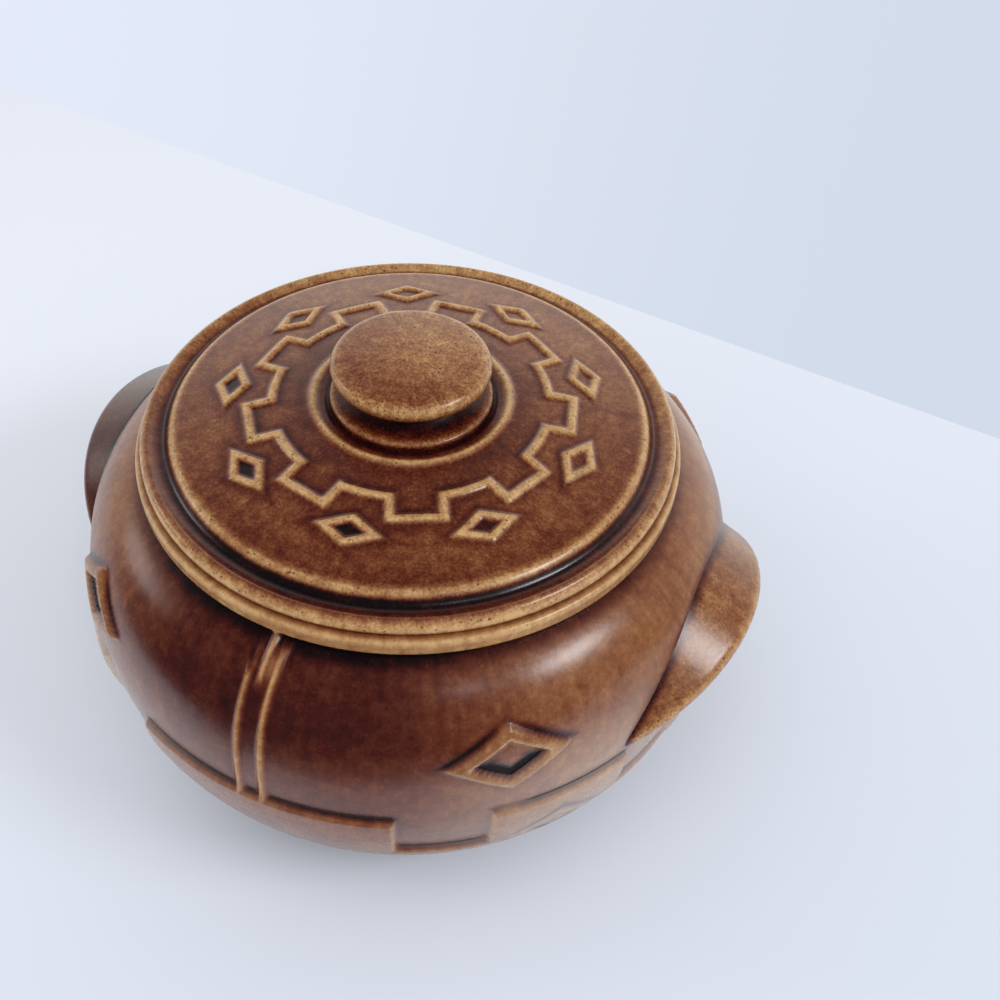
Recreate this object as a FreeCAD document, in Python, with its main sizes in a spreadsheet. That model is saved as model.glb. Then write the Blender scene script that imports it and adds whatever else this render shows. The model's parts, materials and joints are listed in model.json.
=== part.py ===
import FreeCAD, Part
import math
import os
import types
import Sketcher

# A squat stoneware bean pot, in millimetres. The origin is under the middle of the foot, on the
# surface that the pot stands on. +Z is up and the two lug handles lie along +X and -X.
# The wall's outer face, its hollow and the skin of the raised ornament are one turned curve at
# different depths, so all of them follow the same driving sizes. Heights on the lid and the knob
# are measured from the seat, the flat top of the collar that the lid rests on.

SIZES = {
    # foot
    "foot_radius": 58.0,
    "foot_height": 5.5,
    "foot_width": 7.0,
    "foot_recess": 3.0,         # how far the floor stands off the table inside the foot
    "floor_thickness": 8.0,
    # wall
    "belly_radius": 96.0,       # widest reach of the wall
    "belly_round": 72.0,        # radius of the belly's upright curve
    "shoulder_lean": 16.1,      # angle above the widest reach where the shoulder's curve starts
    "shoulder_round": 30.0,
    "wall": 7.0,
    # collar and mouth
    "mouth_radius": 66.0,
    "rim_land": 10.5,           # from the mouth out to the collar's edge
    "collar_overhang": 3.0,     # how far the collar stands out over the neck
    "collar_depth": 5.2,
    "neck_gap": 1.5,            # height of neck seen between the shoulder and the collar
    "edge_round": 1.2,
    # raised ornament on the wall
    "relief": 1.8,
    "relief_bond": 1.5,         # how deep the ornament is keyed into the wall
    "skirt_drop": 47.0,         # from the widest reach down to the raised skirt's lower end
    "notch_drop": 23.5,         # down to the top of the skirt between its teeth
    "tooth_drop": 2.5,          # down to the top of the teeth
    "tooth_angle": 24.4,
    "notch_angle": 15.3,
    "wide_tooth_angle": 46.0,   # the tooth under each strap
    "strap_width": 9.0,
    "strap_rail": 2.2,
    "strap_neck": 7.7,          # from the collar down to where the strap narrows
    "lozenge_turn": 41.0,       # angle from a strap to the lozenges beside it
    "lozenge_rise": 17.5,       # from the widest reach up to the middle of the lozenges
    "lozenge_half_width": 16.8,
    "lozenge_half_height": 10.0,
    "lozenge_frame": 0.42,      # share of each half that is frame; the rest is the sunk middle
    # lug handles
    "lug_setback": 6.4,         # from the widest reach in to where the lug springs from the wall
    "lug_rise": 28.2,           # from the widest reach up to the crown of the lug
    "lug_tilt": 26.0,
    "lug_arch": 52.0,           # radius of the arch that the lug follows round the wall
    "lug_thickness": 8.5,
    "lug_half_width": 49.0,
    "lug_half_depth": 17.0,
    "lug_reach": 19.6,          # from where it springs out to its tip, down the tilt
    "lug_cut": 1.7,             # how far the blank runs on below the arch at the lug's ends
    "lug_round": 3.0,
    # lid
    "lid_inset": 1.8,           # from the collar's edge in to the lid's edge
    "lid_gap": 0.2,             # between the lid's underside and the seat
    "lid_wall": 6.6,
    "lid_clearance": 2.0,       # between the locating flange and the mouth, all round
    "flange_width": 5.0,
    "flange_depth": 8.0,
    "dome_round": 336.0,
    "dome_height": 12.9,
    "dome_inset": 10.7,         # from the lid's edge in to the end of the dome
    "lip_drop": 1.9,            # from the end of the dome down to the top of the groove's wall
    "lip_round": 3.6,
    "groove_inset": 6.4,        # from the lid's edge in to the bottom of the groove
    "groove_wall": 1.3,
    "groove_height": 3.4,
    "groove_round": 5.0,
    "rim_round": 2.35,
    "bead_radius": 27.1,
    "bead_round": 1.8,
    "bead_height": 0.9,         # how far the bead stands above the dome
    # ornament on the lid
    "lid_turn": 17.7,           # angle from +X to the first tooth of the meander
    "lid_relief": 1.1,
    "ring_inner": 38.4,         # middle of the meander's line between its teeth
    "ring_outer": 44.8,         # middle of the line along the top of a tooth
    "ring_tooth": 13.8,         # width of a tooth, between the middles of its sides
    "ring_line": 2.8,
    "lid_lozenge_radius": 50.4,
    "lid_lozenge_half_width": 9.6,
    "lid_lozenge_half_height": 5.2,
    "lid_lozenge_frame": 0.5,
    # knob
    "knob_seat": 11.4,          # height of the flat in the lid that the knob stands on
    "knob_seat_radius": 23.8,
    "knob_foot": 22.6,
    "knob_foot_height": 2.6,
    "knob_foot_round": 1.4,
    "knob_sweep": 9.0,          # radius of the hollow from the foot up to the neck
    "knob_neck": 14.5,
    "knob_neck_height": 6.2,
    "knob_under": 8.6,          # height of the disc's underside over the knob's seat
    "knob_radius": 22.6,
    "knob_thickness": 5.8,
    "knob_rim_round": 3.0,
    "knob_crown": 1.5,
}
RING_TEETH = 9

document = FreeCAD.newDocument("bean_pot")
sheet = document.addObject("Spreadsheet::Sheet", "Sizes")
for row, (name, value) in enumerate(SIZES.items(), start=1):
    sheet.set(f"A{row}", name)
    sheet.set(f"B{row}", str(value))
    sheet.setAlias(f"B{row}", name)
document.recompute()


# ---- sizes that carry their own sheet expression

class Term:
    """A number together with the expression of the sheet that gives it."""

    def __init__(self, value, text):
        self.value = value
        self.text = text

    def __add__(self, other):
        other = term(other)
        return Term(self.value + other.value, f"({self.text} + {other.text})")

    def __sub__(self, other):
        other = term(other)
        return Term(self.value - other.value, f"({self.text} - {other.text})")

    def __mul__(self, other):
        other = term(other)
        return Term(self.value * other.value, f"({self.text} * {other.text})")

    def __truediv__(self, other):
        other = term(other)
        return Term(self.value / other.value, f"({self.text} / {other.text})")

    def __rsub__(self, other):
        return term(other) - self

    def __neg__(self):
        return term(0) - self

    __radd__ = __add__
    __rmul__ = __mul__


def term(value):
    return value if isinstance(value, Term) else Term(float(value), str(value))


def root(inner):
    return Term(math.sqrt(inner.value), f"sqrt({inner.text})")


def leg(hypotenuse, other):
    """The other leg of a right-angled triangle."""
    return root(hypotenuse * hypotenuse - other * other)


def cosine(angle):
    return Term(math.cos(math.radians(angle.value)), f"cos({angle.text} * 1 deg)")


def sine(angle):
    return Term(math.sin(math.radians(angle.value)), f"sin({angle.text} * 1 deg)")


size = types.SimpleNamespace(**{name: Term(value, f"Sizes.{name}") for name, value in SIZES.items()})


# ---- building blocks

def bind(item, **terms):
    """Bind properties to the sheet; a double underscore in a name stands for a dot."""
    for name, value in terms.items():
        item.setExpression(name.replace("__", "."), term(value).text)


def place(item, x=0, y=0, z=0, axis=None, angle=0):
    """Bind the item's Placement: a turn about an axis through its own zero, then a move."""
    if axis is not None:
        turn = FreeCAD.Rotation(axis, term(angle).value)
        item.Placement = FreeCAD.Placement(FreeCAD.Vector(), turn)
        bind(item, Placement__Rotation__Angle=angle)
    bind(item, Placement__Base__x=x, Placement__Base__y=y, Placement__Base__z=z)


def new_object(kind, name, **terms):
    item = document.addObject(kind, name)
    item.Label = name
    bind(item, **terms)
    return item


def combine(kind, name, *shapes):
    """Part::MultiFuse of any number of shapes, or Part::Cut and Part::Common of two."""
    item = new_object(kind, name)
    if kind == "Part::MultiFuse":
        item.Shapes = list(shapes)
    else:
        item.Base, item.Tool = shapes
    return item


def sketch_on(body, role, name):
    sketch = body.newObject("Sketcher::SketchObject", name)
    plane = [item for item in body.Origin.OriginFeatures if item.Role == role][0]
    sketch.AttachmentSupport = (plane, [""])
    sketch.MapMode = "FlatFace"
    return sketch


def fix(sketch, kind, geometry, end, value):
    """Add one dimension to a sketch and bind it to the sheet."""
    value = term(value)
    if kind == "Radius":
        index = sketch.addConstraint(Sketcher.Constraint(kind, geometry, value.value))
    else:
        index = sketch.addConstraint(Sketcher.Constraint(kind, -1, 1, geometry, end, value.value))
    name = f"{kind.lower()}_{geometry}_{end}"
    sketch.renameConstraint(index, name)
    sketch.setExpression(f"Constraints.{name}", value.text)


def arc_between(start, end, radius, turn):
    """The short arc from start to end. turn is 1 when it runs anticlockwise, -1 clockwise."""
    half = (end - start).Length / 2
    across = FreeCAD.Vector(start.y - end.y, end.x - start.x, 0).normalize()
    centre = (start + end) * 0.5 + across * turn * math.sqrt(max(radius ** 2 - half ** 2, 0))
    angles = [math.atan2(point.y - centre.y, point.x - centre.x) for point in (start, end)]
    circle = Part.Circle(centre, FreeCAD.Vector(0, 0, 1), radius)
    return Part.ArcOfCircle(circle, *angles[::turn])


def draw(sketch, corners):
    """Draw a closed outline through corners (x, y), each fixed by two dimensions. A corner
    (x, y, radius, turn) is reached by an arc; the outline closes with a straight line."""
    points = [FreeCAD.Vector(term(corner[0]).value, term(corner[1]).value, 0) for corner in corners]
    ends = []
    for number, corner in enumerate(corners[1:] + corners[:1], start=1):
        start = points[number - 1]
        finish = points[number % len(points)]
        if len(corner) == 4 and number < len(points):
            arc = arc_between(start, finish, corner[2].value, corner[3])
            geometry = sketch.addGeometry(arc)
            begin, end = (1, 2)[::corner[3]]
            fix(sketch, "Radius", geometry, 0, corner[2])
        else:
            geometry = sketch.addGeometry(Part.LineSegment(start, finish))
            begin, end = 1, 2
        if ends:
            sketch.addConstraint(Sketcher.Constraint("Coincident", *ends[-1], geometry, begin))
        else:
            opening = (geometry, begin)
        ends.append((geometry, end))
        if number < len(points):
            fix(sketch, "DistanceX", geometry, end, corner[0])
            fix(sketch, "DistanceY", geometry, end, corner[1])
    sketch.addConstraint(Sketcher.Constraint("Coincident", *ends[-1], *opening))
    fix(sketch, "DistanceX", *opening, corners[0][0])
    fix(sketch, "DistanceY", *opening, corners[0][1])


def revolve(body, kind, name, corners):
    """Turn an outline in the body's XZ plane about Z: PartDesign::Revolution or ::Groove."""
    sketch = sketch_on(body, "XZ_Plane", name + "_profile")
    draw(sketch, corners)
    feature = body.newObject(kind, name)
    feature.Profile = sketch
    feature.ReferenceAxis = (sketch, ["V_Axis"])
    feature.Angle = 360
    return feature


def turned_body(name, corners):
    body = new_object("PartDesign::Body", name)
    revolve(body, "PartDesign::Revolution", name + "_turned", corners)
    return body


# ---- the wall's curve

belly_middle = size.belly_radius - size.belly_round
belly_height = size.foot_height + leg(size.belly_round, size.foot_radius - belly_middle)
arc_gap = size.belly_round - size.shoulder_round
shoulder_middle = belly_middle + arc_gap * cosine(size.shoulder_lean)
shoulder_level = belly_height + arc_gap * sine(size.shoulder_lean)
collar_radius = size.mouth_radius + size.rim_land
neck_radius = collar_radius - size.collar_overhang
neck_height = shoulder_level + leg(size.shoulder_round, neck_radius - shoulder_middle)
collar_height = neck_height + size.neck_gap
seat_height = collar_height + size.collar_depth
floor_height = size.foot_recess + size.floor_thickness


def wall_curve(offset):
    """The belly's and the shoulder's arcs, moved outwards by offset: the corner where the belly's
    arc starts at the foot, the corner between the arcs, and the one where the shoulder ends."""
    belly = size.belly_round + offset
    shoulder = size.shoulder_round + offset
    low = belly / size.belly_round
    high = shoulder / size.shoulder_round
    start = (belly_middle + (size.foot_radius - belly_middle) * low,
             belly_height - (belly_height - size.foot_height) * low)
    middle = (belly_middle + belly * cosine(size.shoulder_lean),
              belly_height + belly * sine(size.shoulder_lean), belly, 1)
    end = (shoulder_middle + (neck_radius - shoulder_middle) * high,
           shoulder_level + (neck_height - shoulder_level) * high, shoulder, 1)
    return [start, middle, end]


def turned_form(name, offset):
    """A solid inside the wall's curve moved outwards by offset, from the foot up to the seat."""
    curve = wall_curve(offset)
    return turned_body(name, [(0, curve[0][1])] + curve + [(curve[2][0], seat_height), (0, seat_height)])


# ---- pot body: thrown wall with its foot, collar and hollow

round_edge = size.edge_round
thrown = turned_body("thrown_pot", [
    (0, size.foot_recess),
    (size.foot_radius - size.foot_width, size.foot_recess),
    (size.foot_radius - size.foot_width, 0),
    (size.foot_radius - round_edge, 0),
    (size.foot_radius, round_edge, round_edge, 1),
    *wall_curve(term(0)),
    (neck_radius, collar_height),
    (collar_radius - round_edge, collar_height),
    (collar_radius, collar_height + round_edge, round_edge, 1),
    (collar_radius, seat_height - round_edge),
    (collar_radius - round_edge, seat_height, round_edge, 1),
    (size.mouth_radius + round_edge, seat_height),
    (size.mouth_radius, seat_height - round_edge, round_edge, 1),
    (0, seat_height - round_edge),
])
document.recompute()
full_volume = thrown.Shape.Volume

hollow_belly = size.belly_round - size.wall
hollow_shoulder = size.shoulder_round - size.wall
revolve(thrown, "PartDesign::Groove", "hollow", [
    (0, floor_height),
    (belly_middle + leg(hollow_belly, belly_height - floor_height), floor_height),
    (belly_middle + hollow_belly * cosine(size.shoulder_lean),
     belly_height + hollow_belly * sine(size.shoulder_lean), hollow_belly, 1),
    (size.mouth_radius, shoulder_level + leg(hollow_shoulder, size.mouth_radius - shoulder_middle),
     hollow_shoulder, 1),
    (size.mouth_radius, seat_height - round_edge),
    (0, seat_height - round_edge),
])
document.recompute()
hollow_volume = full_volume - thrown.Shape.Volume
print("hollow, litres:", round(hollow_volume / 1e6, 2))
assert hollow_volume > 0.5 * full_volume

# ---- raised ornament: everything inside the skin that one of these prisms covers

outer_form = turned_form("outer_form", term(0))
skin = combine("Part::Cut", "relief_skin", turned_form("skin_outer", size.relief),
               turned_form("skin_inner", -size.relief_bond))
prism_reach = size.belly_radius * 1.2
Z_AXIS = FreeCAD.Vector(0, 0, 1)
prisms = []


def wedge(name, low, high, middle, width):
    """A slice of a drum about Z, centred on the angle middle; a full drum for a width of 360."""
    item = new_object("Part::Cylinder", name, Radius=prism_reach, Height=high - low, Angle=width)
    place(item, z=low, axis=Z_AXIS, angle=middle - width / 2)
    prisms.append(item)


def rail(name, side, low, high, near, far):
    """A radial bar over the strap's middle line, from near to far across it."""
    item = new_object("Part::Box", name, Length=prism_reach, Width=far - near, Height=high - low)
    turn = term(side)
    place(item, x=-near * sine(turn), y=near * cosine(turn), z=low, axis=Z_AXIS, angle=turn)
    prisms.append(item)


def lozenge(name, half_width, half_height, frame, middle, plane, length):
    """A lozenge frame round an open middle, as a prism; middle is its centre in the sketch."""
    body = new_object("PartDesign::Body", name)
    sketch = sketch_on(body, plane, name + "_profile")
    for share in (term(1), 1 - frame):
        wide = half_width * share
        tall = half_height * share
        draw(sketch, [(middle[0] - wide, middle[1]), (middle[0], middle[1] - tall),
                      (middle[0] + wide, middle[1]), (middle[0], middle[1] + tall)])
    pad = body.newObject("PartDesign::Pad", name + "_pad")
    pad.Profile = sketch
    bind(pad, Length=length)
    return body


skirt_notch = belly_height - size.notch_drop
skirt_tooth = belly_height - size.tooth_drop
strap_step = collar_height - size.strap_neck
wedge("skirt", belly_height - size.skirt_drop, skirt_notch, term(0), term(360))
tooth_turn = (size.wide_tooth_angle + size.tooth_angle) / 2 + size.notch_angle
lug_tooth_angle = 180 - size.wide_tooth_angle - size.notch_angle * 4 - size.tooth_angle * 2
for half, strap_side in (("front", -90), ("back", 90)):
    turns = {"wide": (term(strap_side), size.wide_tooth_angle),
             "left": (strap_side - tooth_turn, size.tooth_angle),
             "right": (strap_side + tooth_turn, size.tooth_angle),
             "lug": (term(strap_side + 90), lug_tooth_angle)}
    for place_name, (turn, width) in turns.items():
        wedge(f"tooth_{half}_{place_name}", skirt_notch - size.relief, skirt_tooth,
              turn, width)
    strap_edge = size.strap_width / 2
    low = skirt_tooth - size.relief
    rail(f"strap_{half}_left", strap_side, low, strap_step, -strap_edge,
         size.strap_rail - strap_edge)
    rail(f"strap_{half}_right", strap_side, low, collar_height - size.neck_gap,
         strap_edge - size.strap_rail, strap_edge)
    rail(f"strap_{half}_neck", strap_side, strap_step - size.strap_rail, collar_height,
         term(0) - size.strap_rail / 2, size.strap_rail / 2)
    for hand, sign in (("left", -1), ("right", 1)):
        motif = lozenge(f"lozenge_{half}_{hand}", size.lozenge_half_width,
                        size.lozenge_half_height, size.lozenge_frame, (term(0), term(0)),
                        "YZ_Plane", prism_reach)
        place(motif, z=belly_height + size.lozenge_rise, axis=Z_AXIS,
              angle=strap_side + size.lozenge_turn * sign)
        prisms.append(motif)

ornament = combine("Part::Common", "wall_ornament", skin,
                   combine("Part::MultiFuse", "ornament_prisms", *prisms))
pot_body = combine("Part::MultiFuse", "pot_body", thrown, ornament)

# ---- lug handles: a tilted, arched tab cut to the wall that it is luted to

Y_AXIS = FreeCAD.Vector(0, 1, 0)
lug_root = size.belly_radius - size.lug_setback
lug_crown = belly_height + size.lug_rise
lug_drop = size.lug_arch - leg(size.lug_arch, size.lug_half_width) + size.lug_cut
outline = new_object("Part::Ellipse", "lug_outline", MajorRadius=size.lug_half_width,
                     MinorRadius=size.lug_half_depth)
place(outline, x=size.lug_reach - size.lug_half_depth, axis=Z_AXIS, angle=90)
blank = new_object("Part::Extrusion", "lug_blank", LengthFwd=size.lug_thickness,
                   LengthRev=lug_drop)
blank.Base = outline
blank.Dir = Z_AXIS
blank.DirMode = "Custom"
blank.Solid = True
arch = []
for name, radius in (("arch_outer", size.lug_arch), ("arch_inner", size.lug_arch - size.lug_thickness)):
    drum = new_object("Part::Cylinder", name, Radius=radius, Height=size.lug_half_depth * 4)
    place(drum, x=size.lug_half_depth * -2, z=-size.lug_arch, axis=Y_AXIS, angle=90)
    arch.append(drum)
lug = combine("Part::Common", "lug", blank, combine("Part::Cut", "lug_arch_band", *arch))
document.recompute()
rounded = new_object("Part::Fillet", "lug_rounded")
rounded.Base = lug
rim_edges = [number for number, edge in enumerate(lug.Shape.Edges, start=1)
             if edge.Length > SIZES["lug_half_width"]]
print("lug edges rounded:", rim_edges)
rounded.Edges = [(number, SIZES["lug_round"], SIZES["lug_round"]) for number in rim_edges]
place(rounded, x=lug_root, z=lug_crown, axis=Y_AXIS, angle=size.lug_tilt)
handle_right = combine("Part::Cut", "handle_right", rounded,
                       combine("Part::MultiFuse", "lug_bed", outer_form, ornament))
handle_left = new_object("Part::Mirroring", "handle_left")
handle_left.Source = handle_right
handle_left.Normal = FreeCAD.Vector(1, 0, 0)

# ---- lid: domed plate with a rounded rim and a flange that locates it in the mouth

lid_radius = collar_radius - size.lid_inset
flange_outer = size.mouth_radius - size.lid_clearance
flange_inner = flange_outer - size.flange_width
dome_edge = lid_radius - size.dome_inset


def on_dome(radius, depth=0):
    return size.dome_height - size.dome_round + leg(size.dome_round - depth, radius)


plate = turned_body("lid_plate", [
    (0, size.dome_height - size.lid_wall),
    (flange_inner, on_dome(flange_inner, size.lid_wall), size.dome_round - size.lid_wall, -1),
    (flange_inner, -size.flange_depth),
    (flange_outer - round_edge, -size.flange_depth),
    (flange_outer, round_edge - size.flange_depth, round_edge, 1),
    (flange_outer, size.lid_gap),
    (lid_radius - size.rim_round, size.lid_gap),
    (lid_radius, size.lid_gap + size.rim_round, size.rim_round, 1),
    (lid_radius - size.rim_round, size.lid_gap + size.rim_round * 2, size.rim_round, 1),
    (lid_radius - size.groove_inset, size.groove_height, size.groove_round, -1),
    (lid_radius - size.groove_inset - size.groove_wall, on_dome(dome_edge) - size.lip_drop),
    (dome_edge, on_dome(dome_edge), size.lip_round, 1),
    (size.knob_seat_radius, on_dome(size.knob_seat_radius), size.dome_round, 1),
    (size.knob_seat_radius, size.knob_seat),
    (0, size.knob_seat),
])
bead = new_object("Part::Torus", "lid_bead", Radius1=size.bead_radius, Radius2=size.bead_round)
place(bead, z=on_dome(size.bead_radius) + size.bead_height - size.bead_round)

# the meander: a drum with square teeth, less a smaller one with narrower teeth
line = size.ring_line / 2
tooth = size.ring_tooth / 2
prism_height = size.dome_height * 2
toothed_drums = []
for name, reach in (("meander_outer", line), ("meander_inner", -line)):
    drum = new_object("Part::Cylinder", f"{name}_drum", Radius=size.ring_inner + reach,
                      Height=prism_height)
    blocks = [drum]
    half = tooth + reach
    for number in range(RING_TEETH):
        turn = term(number * 360 / RING_TEETH)
        block = new_object("Part::Box", f"{name}_tooth_{number + 1}", Height=prism_height,
                           Length=size.ring_outer + reach, Width=half * 2)
        place(block, x=half * sine(turn), y=-half * cosine(turn), axis=Z_AXIS, angle=turn)
        blocks.append(block)
    toothed_drums.append(combine("Part::MultiFuse", name, *blocks))
meander = combine("Part::Cut", "meander", *toothed_drums)

motifs = [meander]
for number in range(RING_TEETH):
    motif = lozenge(f"lid_lozenge_{number + 1}", size.lid_lozenge_half_height,
                    size.lid_lozenge_half_width, size.lid_lozenge_frame,
                    (size.lid_lozenge_radius, term(0)), "XY_Plane", prism_height)
    place(motif, axis=Z_AXIS, angle=(number + 0.5) * 360 / RING_TEETH)
    motifs.append(motif)
ball_height = size.dome_height - size.dome_round
balls = []
for name, depth in (("dome_skin", -size.lid_relief), ("dome_core", size.relief_bond)):
    ball = new_object("Part::Sphere", name, Radius=size.dome_round - depth)
    place(ball, z=ball_height)
    balls.append(ball)
lid_motifs = combine("Part::Common", "lid_motifs", combine("Part::MultiFuse", "lid_prisms", *motifs),
                     balls[0])
lid_ornament = combine("Part::Cut", "lid_ornament", lid_motifs, balls[1])
lid = combine("Part::MultiFuse", "lid", plate, bead, lid_ornament)
place(lid, z=seat_height, axis=Z_AXIS, angle=size.lid_turn)

# ---- knob: a disc on a waisted stem, standing on the flat in the middle of the lid

foot_top = size.knob_seat + size.knob_foot_height
disc_under = size.knob_seat + size.knob_under
disc_top = disc_under + size.knob_thickness
disc_edge = size.knob_radius - size.knob_thickness / 2
crown = size.knob_crown
lid_knob = turned_body("lid_knob", [
    (0, size.knob_seat),
    (size.knob_foot, size.knob_seat),
    (size.knob_foot, foot_top - size.knob_foot_round),
    (size.knob_foot - size.knob_foot_round, foot_top, size.knob_foot_round, 1),
    (size.knob_neck, size.knob_seat + size.knob_neck_height, size.knob_sweep, -1),
    (disc_edge, disc_under, size.knob_sweep, -1),
    (disc_edge, disc_top, size.knob_rim_round, 1),
    (0, disc_top + crown, (disc_edge * disc_edge + crown * crown) / (crown * 2), 1),
])
place(lid_knob, z=seat_height)

# ---- checks and files

document.recompute()
for item in document.Objects:
    if "Invalid" in item.State or "Error" in item.State:
        raise RuntimeError(f"{item.Name} did not build: {item.State}")
pieces = [pot_body, handle_right, handle_left, lid, lid_knob]
os.makedirs("parts", exist_ok=True)
for piece in pieces:
    shape = piece.Shape
    if shape.isNull() or not shape.isValid():
        raise RuntimeError(f"{piece.Label} is not a valid shape")
    box = shape.BoundBox
    print(piece.Label, "solids", len(shape.Solids), "cm3", round(shape.Volume / 1000, 1),
          "x", round(box.XMin, 2), round(box.XMax, 2), "z", round(box.ZMin, 2), round(box.ZMax, 2))
for piece in pieces:
    piece.Shape.exportStep(f"parts/{piece.Label}.step")
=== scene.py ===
import json
import math
import bpy
import numpy as np
from mathutils import Euler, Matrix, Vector
from mathutils.kdtree import KDTree

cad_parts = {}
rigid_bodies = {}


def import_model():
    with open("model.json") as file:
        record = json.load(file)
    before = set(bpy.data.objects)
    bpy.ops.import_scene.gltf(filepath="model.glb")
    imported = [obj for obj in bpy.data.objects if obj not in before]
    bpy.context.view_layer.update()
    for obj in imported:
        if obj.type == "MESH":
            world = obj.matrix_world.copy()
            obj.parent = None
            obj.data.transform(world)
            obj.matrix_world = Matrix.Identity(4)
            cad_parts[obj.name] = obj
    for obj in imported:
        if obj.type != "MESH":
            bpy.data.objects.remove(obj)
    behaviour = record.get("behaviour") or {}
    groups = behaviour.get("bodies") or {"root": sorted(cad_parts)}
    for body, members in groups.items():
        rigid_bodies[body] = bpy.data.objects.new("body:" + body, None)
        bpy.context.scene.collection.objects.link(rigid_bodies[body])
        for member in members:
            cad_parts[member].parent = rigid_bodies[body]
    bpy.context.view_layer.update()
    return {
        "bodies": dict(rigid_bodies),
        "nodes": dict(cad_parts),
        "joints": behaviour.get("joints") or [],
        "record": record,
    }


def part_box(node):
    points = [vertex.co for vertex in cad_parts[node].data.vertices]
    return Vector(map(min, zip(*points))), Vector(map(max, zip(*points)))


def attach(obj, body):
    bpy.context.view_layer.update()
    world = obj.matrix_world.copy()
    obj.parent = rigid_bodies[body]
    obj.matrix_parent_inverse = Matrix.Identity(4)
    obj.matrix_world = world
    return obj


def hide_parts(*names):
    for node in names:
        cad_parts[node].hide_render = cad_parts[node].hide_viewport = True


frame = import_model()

# Sizes are in millimetres and angles in degrees, up to the point where a mesh is made in metres.
mm = 0.001
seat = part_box("pot_body")[1].z / mm    # the flat that the lid rests on

for spare in [item for item in bpy.data.objects if item.name in ("Cube", "Light", "Camera")]:
    bpy.data.objects.remove(spare)


# fields: node outputs that are added and multiplied like numbers

class Field:
    def __init__(self, tree, socket):
        self.tree = tree
        self.socket = socket

    def __add__(self, other):
        return calc("ADD", self, other)

    def __sub__(self, other):
        return calc("SUBTRACT", self, other)

    def __rsub__(self, other):
        return calc("SUBTRACT", other, self)

    def __mul__(self, other):
        return calc("MULTIPLY", self, other)

    def __truediv__(self, other):
        return calc("DIVIDE", self, other)

    def __rtruediv__(self, other):
        return calc("DIVIDE", other, self)

    __radd__ = __add__


def feed(tree, value, socket):
    if isinstance(value, Field):
        tree.links.new(value.socket, socket)
    else:
        socket.default_value = value


def calc(operation, *values):
    if len(values) > 2:
        values = values[0], calc(operation, *values[1:])
    tree = next(value.tree for value in values if isinstance(value, Field))
    node = tree.nodes.new("ShaderNodeMath")
    node.operation = operation
    for value, socket in zip(values, node.inputs):
        feed(tree, value, socket)
    return Field(tree, node.outputs[0])


def size(value):
    return calc("ABSOLUTE", value)


# eases from start to end while value goes from low to high
def step(value, low, high, start=0.0, end=1.0):
    node = value.tree.nodes.new("ShaderNodeMapRange")
    node.interpolation_type = "SMOOTHSTEP"
    for number, socket in zip((value, low, high, start, end), node.inputs):
        feed(value.tree, number, socket)
    return Field(value.tree, node.outputs[0])


def hill(value, middle, width):    # 1 at the middle, fading to 0 about two widths away
    away = (value - middle) / width
    return calc("EXPONENT", away * away * -1)


def apart(tree, vector):
    node = tree.nodes.new("ShaderNodeSeparateXYZ")
    tree.links.new(vector, node.inputs[0])
    return [Field(tree, socket) for socket in node.outputs]


def together(tree, *values):
    node = tree.nodes.new("ShaderNodeCombineXYZ")
    for value, socket in zip(values, node.inputs):
        feed(tree, value, socket)
    return node.outputs[0]


# turned shapes: an outline in millimetres, spun round Z

def tracePath(corners, gap=0.1):
    points = [np.array(corners[0][:2], float)]
    for corner in corners[1:]:
        start, end = points[-1], np.array(corner[:2], float)
        run = end - start
        if len(corner) == 4:
            radius, turn = corner[2:]
            half = np.hypot(*run) / 2
            across = np.array([-run[1], run[0]]) / (2 * half)
            middle = (start + end) / 2 + across * turn * math.sqrt(max(radius ** 2 - half ** 2, 0))
            first, last = [math.atan2(*(point - middle)[::-1]) for point in (start, end)]
            sweep = (last - first) * turn % math.tau * turn
            count = max(2, math.ceil(abs(sweep) * radius / gap))
            angles = first + sweep * np.arange(1, count + 1) / count
            points += list(middle + radius * np.stack([np.cos(angles), np.sin(angles)], 1))
        else:
            count = max(1, math.ceil(np.hypot(*run) / gap))
            points += [start + run * share for share in np.arange(1, count + 1) / count]
    return np.array(points)


def alongPath(path):
    return np.concatenate([[0], np.cumsum(np.hypot(*np.diff(path, axis=0).T))])


def soften(path, reach, gap=0.1):    # a gaussian blur of the outline, mirrored at the axis
    along = alongPath(path)
    even = np.linspace(0, along[-1], max(8, int(along[-1] / gap)))
    line = np.stack([np.interp(even, along, path[:, axis]) for axis in (0, 1)], 1)
    count = int(reach * 3 / gap) + 1
    weights = np.exp(-(np.arange(-count, count + 1) * gap / reach) ** 2 / 2)
    weights /= weights.sum()
    flip = np.array([-1, 1])
    padded = np.concatenate([line[count:0:-1] * flip, line, line[-2:-count - 2:-1] * flip])
    blurred = np.stack([np.convolve(padded[:, axis], weights, "valid") for axis in (0, 1)], 1)
    blurred[[0, -1], 0] = 0
    return even, line, blurred


# how far the outline stands out from its own blur: positive on edges, negative in grooves
def bulge(path, reach):
    even, line, blurred = soften(path, reach)
    heading = np.gradient(line, axis=0)
    outward = np.stack([heading[:, 1], -heading[:, 0]], 1)
    outward /= np.maximum(np.hypot(*outward.T), 1e-9)[:, None]
    return even, ((line - blurred) * outward).sum(1)


def stations(line, gaps):    # places along a line, with the wanted gap between them everywhere
    dense = np.concatenate([[0], np.cumsum(np.diff(line) / ((gaps[1:] + gaps[:-1]) / 2))])
    return np.interp(np.linspace(0, dense[-1], math.ceil(dense[-1]) + 1), dense, line)


def addMarks(mesh, **marks):
    for label, values in marks.items():
        layer = mesh.attributes.get(label) or mesh.attributes.new(label, "FLOAT", "POINT")
        layer.data.foreach_set("value", np.asarray(values, np.float32))


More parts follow.
